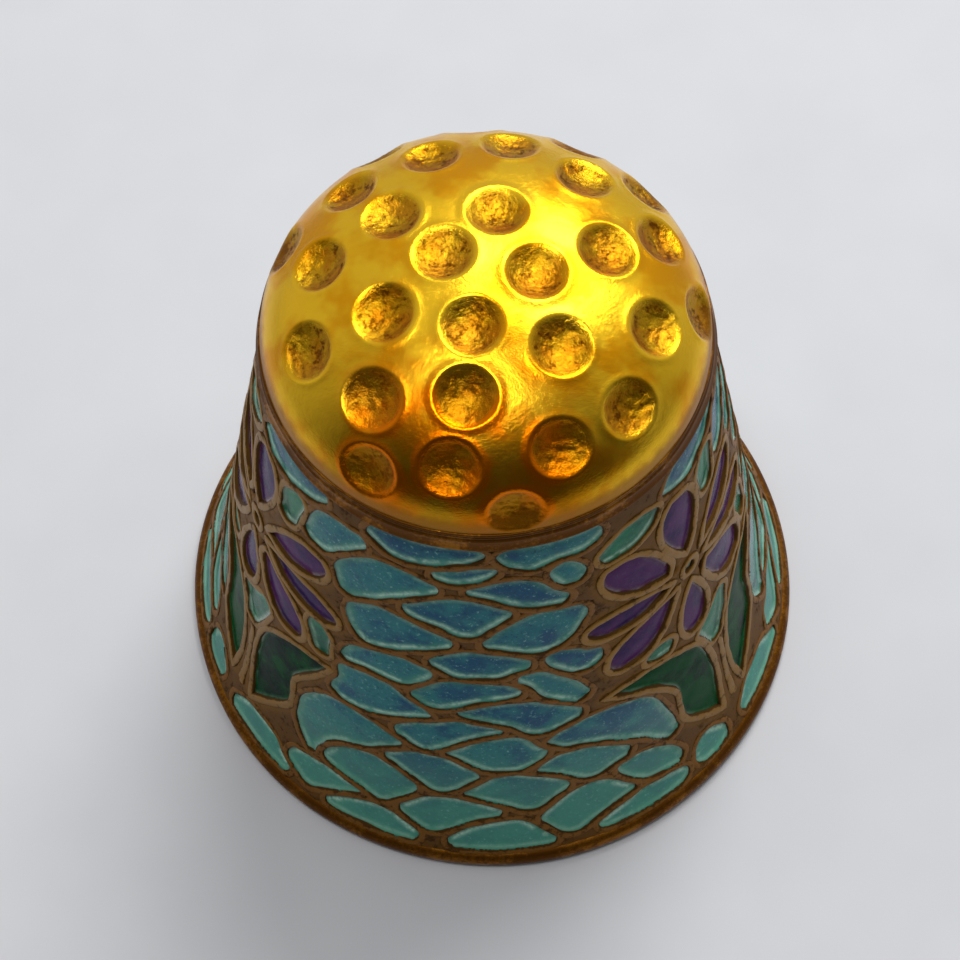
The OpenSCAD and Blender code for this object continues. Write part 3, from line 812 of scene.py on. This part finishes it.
class Graph:
    def __init__(self, tree):
        self.tree = tree

    def node(self, kind, inputs=None, **settings):
        made = self.tree.nodes.new(kind)
        for key, value in settings.items():
            setattr(made, key, value)
        for key, value in (inputs or {}).items():
            self.set(made.inputs[key], value)
        return made

    def set(self, socket, value):
        if isinstance(value, bpy.types.NodeSocket):
            self.tree.links.new(value, socket)
        else:
            socket.default_value = value

    def math(self, operation, a, b=0.0, clamp=False):
        return self.node("ShaderNodeMath", {0: a, 1: b}, operation=operation, use_clamp=clamp).outputs[0]

    def ease(self, value, low, high, to_low=0.0, to_high=1.0):
        """A smooth step from to_low to to_high as value goes from low to high."""
        made = self.node("ShaderNodeMapRange", {0: value, 1: low, 2: high, 3: to_low, 4: to_high},
                         interpolation_type="SMOOTHSTEP")
        return made.outputs[0]

    def mix(self, share, a, b, blend="MIX"):
        made = self.node("ShaderNodeMix", data_type="RGBA", blend_type=blend)
        self.set(made.inputs["Factor"], share)
        for socket, value in zip([s for s in made.inputs if s.type == "RGBA"], (a, b)):
            self.set(socket, value)
        return [s for s in made.outputs if s.type == "RGBA"][0]

    def noise(self, where, scale, detail=3.0, rough=0.55):
        return self.node("ShaderNodeTexNoise", {"Vector": where, "Scale": scale, "Detail": detail,
                                                "Roughness": rough}).outputs[0]

    def place(self):
        """The place on the object in millimetres, for textures."""
        coords = self.node("ShaderNodeTexCoord").outputs["Object"]
        return self.node("ShaderNodeVectorMath", {0: coords, 1: (1000, 1000, 1000)}, operation="MULTIPLY").outputs[0]

    def mark(self, name):
        return self.node("ShaderNodeAttribute", attribute_name=name).outputs["Fac"]

    def group(self, group, **inputs):
        made = self.node("ShaderNodeGroup", node_tree=group)
        for key, value in inputs.items():
            self.set(made.inputs[key.replace("_", " ")], value)
        return made.outputs


def new_group(name, inputs, outputs):
    """An empty shader group, its graph, its input node's sockets and its output node."""
    tree = bpy.data.node_groups.new(name, "ShaderNodeTree")
    kinds = {"value": "NodeSocketFloat", "colour": "NodeSocketColor", "vector": "NodeSocketVector"}
    for label, kind, default in inputs:
        socket = tree.interface.new_socket(label, in_out="INPUT", socket_type=kinds[kind])
        if default is not None:
            socket.default_value = default
    for label, kind in outputs:
        tree.interface.new_socket(label, in_out="OUTPUT", socket_type=kinds[kind])
    graph = Graph(tree)
    return tree, graph, graph.node("NodeGroupInput").outputs, graph.node("NodeGroupOutput").inputs


def new_material(name):
    """A material with its graph and its Principled shader."""
    material = bpy.data.materials.new(name)
    material.use_nodes = True
    return material, Graph(material.node_tree), material.node_tree.nodes["Principled BSDF"]


def wear(material, pieces):
    for piece in pieces:
        piece.data.materials.clear()
        piece.data.materials.append(material)


# %% [markdown]
# ## Effects that materials share
# Two things happen to more than one material. Fired glass is speckled with grains and
# pinholes, and worn metal gathers dark grime in patches. The crown also feeds this second
# group its painted shade in the dimples. Each is a node group, built once.

# %% Shared node groups
speckle_group, g, gi, go = new_group(
    "fired_glass", [("Place", "vector", None), ("Deep", "colour", srgb(30, 60, 90)),
                    ("Body", "colour", srgb(40, 110, 120)), ("Milky", "colour", srgb(120, 180, 150)),
                    ("Grain", "value", 0.5), ("Tone", "value", 0.5)],
    [("Colour", "colour"), ("Relief", "value"), ("Pits", "value")])
cloud = g.noise(gi["Place"], 0.9, 3.0, 0.6)
shifted = g.math("ADD", cloud, g.math("MULTIPLY", g.math("SUBTRACT", gi["Tone"], 0.5), 0.22))
colour = g.mix(g.ease(shifted, 0.36, 0.62), gi["Deep"], gi["Body"])
grains = g.noise(gi["Place"], 7.0, 4.0, 0.75)
light_grain = g.math("MULTIPLY", g.ease(grains, 0.56, 0.74), gi["Grain"])
dark_grain = g.math("MULTIPLY", g.ease(grains, 0.44, 0.28), gi["Grain"])
colour = g.mix(light_grain, colour, gi["Milky"])
colour = g.mix(dark_grain, colour, g.mix(0.6, gi["Deep"], (0, 0, 0, 1)))
cells = g.node("ShaderNodeTexVoronoi", {"Vector": gi["Place"], "Scale": 5.5, "Randomness": 1.0}).outputs["Distance"]
pits = g.math("MULTIPLY", g.ease(cells, 0.16, 0.06), g.ease(g.noise(gi["Place"], 1.7), 0.5, 0.62))
g.set(go["Colour"], colour)
g.set(go["Relief"], g.math("SUBTRACT", g.math("MULTIPLY", grains, 0.35), pits))
g.set(go["Pits"], pits)

grime_and_shade_group, g, gi, go = new_group(
    "grime_and_shade", [("Place", "vector", None), ("Clean", "colour", srgb(200, 150, 40)),
              ("Dirt", "colour", srgb(50, 30, 10)), ("Amount", "value", 0.5), ("Scale", "value", 2.0)],
    [("Colour", "colour"), ("Mask", "value"), ("Relief", "value")])
broad = g.node("ShaderNodeTexNoise", {"Vector": gi["Place"], "Scale": gi["Scale"], "Detail": 5.0, "Roughness": 0.65}).outputs[0]
fine = g.node("ShaderNodeTexNoise", {"Vector": gi["Place"], "Scale": 9.0, "Detail": 4.0, "Roughness": 0.7}).outputs[0]
both = g.math("ADD", g.math("MULTIPLY", broad, 0.65), g.math("MULTIPLY", fine, 0.35))
level = g.math("SUBTRACT", 0.78, g.math("MULTIPLY", gi["Amount"], 0.55))
mask = g.ease(g.math("SUBTRACT", both, level), -0.06, 0.07)
g.set(go["Mask"], mask)
g.set(go["Colour"], g.mix(mask, gi["Clean"], gi["Dirt"]))
g.set(go["Relief"], g.math("SUBTRACT", g.math("MULTIPLY", fine, 0.5), g.math("MULTIPLY", mask, 0.3)))
print("groups:", [t.name for t in bpy.data.node_groups])


# %% [markdown]
# ## Enamels
# Every glass colour uses the same graph with its own colours: a deep and a lighter body
# that drift into each other, grains, a milkier border where the glass is thin beside the
# wire, and a bump for the grains. Pale streaks along the edges are painted glints, laid
# where the curved glass beside the wire would catch the light, and a thin dark band right
# at the wire is painted shade. The turquoise is also painted lighter towards the foot, as
# light on the upturned flare. The distance to the wire and the place of the painted glints
# were stored when the cell was paved.

# %% Glass materials
def glass(name, deep, body, milky, border, grain=0.5, rough=0.16, border_width=0.3,
          low=None, shine=0.3, frit=0.9, glint_colour=srgb(196, 234, 212)):
    material, g, shader = new_material(name)
    place = g.place()
    fired = g.group(speckle_group, Place=place, Deep=deep, Body=body, Milky=milky,
                    Grain=grain, Tone=g.mark("tone"))
    fence = g.mark("fence")
    wander = g.math("MULTIPLY", g.noise(place, 3.0), 0.24)
    near = g.ease(g.math("SUBTRACT", fence, wander), border_width - 0.12, -0.1)
    colour = g.mix(g.math("MULTIPLY", near, 0.8), fired["Colour"], border)
    # Painted light: where a low colour is given, the glass is painted lighter and greener towards the foot, where the
    # flared wall faces up to the light.
    if low:
        height = g.node("ShaderNodeSeparateXYZ", {0: place}).outputs[2]
        colour = g.mix(g.ease(height, 8.5, 2.0, 0.0, 0.55), colour, low)
    # Painted glints: a pale colour in patchy streaks along the cell's edges, where the curved glass would catch the
    # light.
    patchy = g.ease(g.noise(place, 1.3, 3.0), 0.36, 0.54)
    glint_mask = g.math("MULTIPLY", g.math("MULTIPLY", g.mark("frit"), patchy), frit)
    colour = g.mix(g.math("MULTIPLY", glint_mask, g.ease(g.noise(place, 6.0), 0.3, 0.6, 0.5, 1.0)), colour, glint_colour)
    # Painted shade: a thin dark band on the glass right at the wire, where the glass dips beside it.
    crevice_shade = g.ease(fence, 0.055, 0.0)
    colour = g.mix(g.math("MULTIPLY", crevice_shade, 0.75), colour, srgb(28, 24, 16))
    g.set(shader.inputs["Base Color"], colour)
    g.set(shader.inputs["Roughness"], g.ease(fired["Pits"], 0, 1, rough, 0.6))
    shader.inputs["IOR"].default_value = 1.5
    shader.inputs["Specular IOR Level"].default_value = shine
    g.set(shader.inputs["Coat Weight"], g.ease(fence, 0.2, 0.05, 0.0, 0.7))
    shader.inputs["Coat Roughness"].default_value = 0.08
    bump = g.node("ShaderNodeBump", {"Height": fired["Relief"], "Strength": 0.5, "Distance": 0.00003})
    g.set(shader.inputs["Normal"], bump.outputs[0])
    return material


turquoise = glass("turquoise_glass", srgb(20, 84, 118), srgb(44, 124, 130), srgb(150, 206, 190),
                  srgb(78, 152, 124), 0.9, border_width=0.42, low=srgb(96, 168, 138), shine=0.1)
purple = glass("purple_glass", srgb(52, 30, 84), srgb(86, 40, 98), srgb(124, 92, 132),
               srgb(104, 34, 60), 0.35, shine=0.04, frit=0.2)
leaf = glass("leaf_glass", srgb(0, 34, 26), srgb(2, 74, 34), srgb(24, 110, 60), srgb(0, 92, 34), 0.4, 0.25,
             shine=0.02, frit=0.15)
accent = glass("accent_glass", srgb(24, 92, 74), srgb(46, 128, 96), srgb(120, 180, 140), srgb(50, 110, 70),
               0.5, shine=0.08)
lining_material, g, shader = new_material("lining_glass")
place = g.place()
fired = g.group(speckle_group, Place=place, Deep=srgb(24, 84, 110), Body=srgb(48, 124, 140),
                Milky=srgb(130, 180, 180), Grain=0.5, Tone=0.5)
g.set(shader.inputs["Base Color"], fired["Colour"])
g.set(shader.inputs["Roughness"], g.ease(fired["Pits"], 0, 1, 0.22, 0.6))
bump = g.node("ShaderNodeBump", {"Height": fired["Relief"], "Strength": 0.4, "Distance": 0.00003})
g.set(shader.inputs["Normal"], bump.outputs[0])

wear(turquoise, glass_pieces["scale"] + glass_pieces["heart"])
wear(purple, glass_pieces["petal"])
wear(leaf, glass_pieces["leaf"])
wear(accent, glass_pieces["accent"])
wear(lining_material, [lining])
print("glass:", turquoise.name, purple.name, leaf.name, accent.name, lining_material.name)


# %% [markdown]
# ## Metals
# The crown is gilt, bright on its domed parts and painted darker in the dimples as shade.
# The collar and foot lost their gilding and went brown. The wires were ground with the glass,
# so only their crests show clean metal. Every one of them is the grime and shade group with
# other colours.

# %% Metal materials
def metal(name, clean, dirt, amount, scale, rough, rough_dirt, bump=0.3, metallic=1.0, crest=None, shine=0.5):
    material, g, shader = new_material(name)
    place = g.place()
    if crest is not None:
        amount = g.ease(g.mark("crest"), 0.0, 1.0, crest, amount)
    grime_and_shade = g.group(grime_and_shade_group, Place=place, Clean=clean, Dirt=dirt, Amount=amount, Scale=scale)
    g.set(shader.inputs["Base Color"], grime_and_shade["Colour"])
    shader.inputs["Metallic"].default_value = metallic
    shader.inputs["Specular IOR Level"].default_value = shine
    g.set(shader.inputs["Roughness"], g.ease(grime_and_shade["Mask"], 0, 1, rough, rough_dirt))
    relief = g.node("ShaderNodeBump", {"Height": grime_and_shade["Relief"], "Strength": bump, "Distance": 0.00004})
    g.set(shader.inputs["Normal"], relief.outputs[0])
    return material, g, shader, place, grime_and_shade


scale_wire, *_ = metal("scale_wire", srgb(128, 86, 34), srgb(78, 50, 16), 0.4, 2.5, 0.5, 0.7, 0.4, 0.4, 0.9, 0.1)
flower_wire, *_ = metal("flower_wire", srgb(140, 102, 42), srgb(88, 60, 20), 0.35, 2.5, 0.42, 0.65, 0.4, 0.6, 0.9, 0.12)
bronzed, *_ = metal("bronzed_brass", srgb(142, 92, 26), srgb(100, 60, 16), 0.6, 0.7, 0.4, 0.55, 0.35, 1.0)
coppered, *_ = metal("copper", srgb(190, 110, 70), srgb(90, 45, 25), 0.4, 1.5, 0.35, 0.6, 0.4)
fired_coat, g, shader, place, grime_and_shade = metal("fired_coat", srgb(104, 70, 28), srgb(70, 46, 16), 0.4, 2.0, 0.55, 0.75,
                                            0.5, 0.3, shine=0.1)
by_flower = g.ease(g.mark("crest"), 0.3, 0.75, 0.0, 0.75)
g.set(shader.inputs["Base Color"], g.mix(by_flower, grime_and_shade["Colour"], srgb(128, 88, 32)))
wear(scale_wire, scale_wires)
wear(flower_wire, flower_wires)
wear(bronzed, [collar, rim])
wear(coppered, [copper])
wear(fired_coat, [ground])

# %% [markdown]
# ## The gilt crown's finish
# The gold keeps patches of grime and stays bright on its high parts. A dimple's floor is
# grainy and painted darker and browner, as shade in the hollow. Towards the dome's foot
# the gold turns browner and rougher, and round its front left a dark brown patch, orange
# on the dimples' shoulders, is a painted reflection of the dark surroundings.

# %% Crown material
gilt, g, shader = new_material("gilding")
place = g.place()
hollow, down = g.mark("hollow"), g.mark("down")
tint = g.noise(place, 0.55, 3.0)
gold = g.mix(g.ease(tint, 0.42, 0.62), srgb(242, 192, 40), srgb(228, 158, 18))
# Painted shade: the dimples' floors are painted darker and browner, and below they get more of the dark colour, so the
# hollows read as shaded.
gold = g.mix(g.math("MULTIPLY", hollow, 0.7), gold, g.mix(g.ease(g.noise(place, 1.6), 0.4, 0.6), srgb(176, 128, 14), srgb(170, 96, 8)))
amount = g.math("ADD", g.math("MULTIPLY", hollow, 0.42), g.ease(down, 0.75, 1.0, 0.0, 0.25))
grime_and_shade = g.group(grime_and_shade_group, Place=place, Clean=gold, Dirt=srgb(112, 64, 4), Amount=amount, Scale=2.6)
# Painted reflection: a dark brown patch round the front left of the dome's foot, orange on the dimples' shoulders
# there, stands for dark surroundings mirrored in the gold.
reach = g.node("ShaderNodeVectorMath", {0: place, 1: (-1.2, -6.0, crown_foot + 0.9)}, operation="DISTANCE").outputs["Value"]
painted_reflection = g.ease(g.math("ADD", reach, g.math("MULTIPLY", g.noise(place, 0.7, 2.0), 3.0)), 6.6, 4.2)
orange_reflection = g.math("MULTIPLY", painted_reflection, g.ease(g.math("ADD", g.mark("ridge"), g.noise(place, 0.9, 2.0)), 0.4, 0.75))
colour = g.mix(g.math("MULTIPLY", painted_reflection, 0.6), grime_and_shade["Colour"], srgb(150, 88, 2))
colour = g.mix(g.math("MULTIPLY", orange_reflection, 0.85), colour, srgb(224, 112, 2))
# Towards the dome's foot the gold also gets more of the dark colour above and turns browner and rougher.
dull = g.ease(g.math("ADD", down, g.math("MULTIPLY", g.noise(place, 2.0), 0.08)), 0.87, 0.97)
colour = g.mix(g.math("MULTIPLY", dull, 0.85), colour, srgb(146, 94, 14))
g.set(shader.inputs["Base Color"], colour)
shader.inputs["Metallic"].default_value = 1.0
g.set(shader.inputs["Roughness"], g.math("ADD", g.ease(grime_and_shade["Mask"], 0, 1, 0.24, 0.42), g.math("MULTIPLY", g.math("ADD", g.math("MULTIPLY", hollow, 0.3), dull), 0.14)))
grain = g.math("ADD", g.math("MULTIPLY", g.noise(place, 5.0, 4.0, 0.7), g.ease(hollow, 0, 1, 0.12, 0.6)),
               g.math("MULTIPLY", g.noise(place, 30.0, 2.0), 0.05))
g.set(shader.inputs["Normal"], g.node("ShaderNodeBump", {
    "Height": grain, "Strength": 0.8, "Distance": 0.0001}).outputs[0])
wear(gilt, [crown])
print("crown:", gilt.name)

# %% [markdown]
# ## Floor, light and camera
# The floor is a plain pale sheet. One large soft lamp above and behind gives the dome
# its broad highlight, a weaker one fills the front, and the world shades from dark grey
# in front to white behind.
# Their sum is set so that a colour renders about as it is written.

# %% Stage
def stage_sheet():
    size = 0.6
    mesh = bpy.data.meshes.new("floor")
    mesh.from_pydata([(-size, -size, 0), (size, -size, 0), (size, size, 0), (-size, size, 0)], [], [[0, 1, 2, 3]])
    sheet = bpy.data.objects.new("floor", mesh)
    scene.collection.objects.link(sheet)
    material, g, shader = new_material("pale_floor")
    place = g.place()
    g.set(shader.inputs["Base Color"], g.mix(g.noise(place, 0.2, 2.0), srgb(205, 206, 210), srgb(214, 215, 218)))
    shader.inputs["Roughness"].default_value = 0.85
    mesh.materials.append(material)
    return sheet


def lamp(name, location, target, size, power, colour=(1, 1, 1)):
    data = bpy.data.lights.new(name, "AREA")
    data.shape, data.size, data.energy, data.color = "DISK", size, power, colour
    light = bpy.data.objects.new(name, data)
    light.location = location
    light.rotation_mode = "QUATERNION"
    light.rotation_quaternion = (Vector(target) - Vector(location)).to_track_quat("-Z", "Y")
    scene.collection.objects.link(light)
    return light


floor = stage_sheet()
top = cad_high[2]
lamp("key", (0.06, 0.13, 0.20), (0, 0, top * 0.6), 0.13, 0.36)
lamp("overhead", (-0.02, -0.03, 0.26), (0, 0, top * 0.4), 0.06, 0.16)
scene.world = bpy.data.worlds.new("studio")
scene.world.use_nodes = True
g = Graph(scene.world.node_tree)
sky = scene.world.node_tree.nodes["Background"]
toward = g.node("ShaderNodeSeparateXYZ", {0: g.node("ShaderNodeTexCoord").outputs["Generated"]}).outputs[1]
g.set(sky.inputs["Color"], g.mix(g.ease(toward, -0.7, 0.5), (0.12, 0.12, 0.13, 1), (1.0, 1.0, 1.0, 1)))
sky.inputs["Strength"].default_value = 0.6
scene.view_settings.view_transform = "Standard"

camera_data = bpy.data.cameras.new("camera")
camera_data.lens = 90.26
camera_data.sensor_width = 36
camera_data.clip_start, camera_data.clip_end = 0.005, 5
camera = bpy.data.objects.new("camera", camera_data)
scene.collection.objects.link(camera)
elevation, roll, reach = math.radians(64.657), math.radians(1.83), 0.08148
look = Vector((-0.00031, 0, 0.00871))
back = Vector((0, -math.cos(elevation), math.sin(elevation)))
up = Vector((0, math.sin(elevation), math.cos(elevation)))
right = Vector((1, 0, 0))
tilted_right = right * math.cos(roll) - up * math.sin(roll)
tilted_up = right * math.sin(roll) + up * math.cos(roll)
camera.matrix_world = Matrix.Translation(look + back * reach) @ Matrix(
    (tilted_right, tilted_up, back)).transposed().to_4x4()
scene.camera = camera
print("camera", [round(v / MM, 1) for v in camera.location])
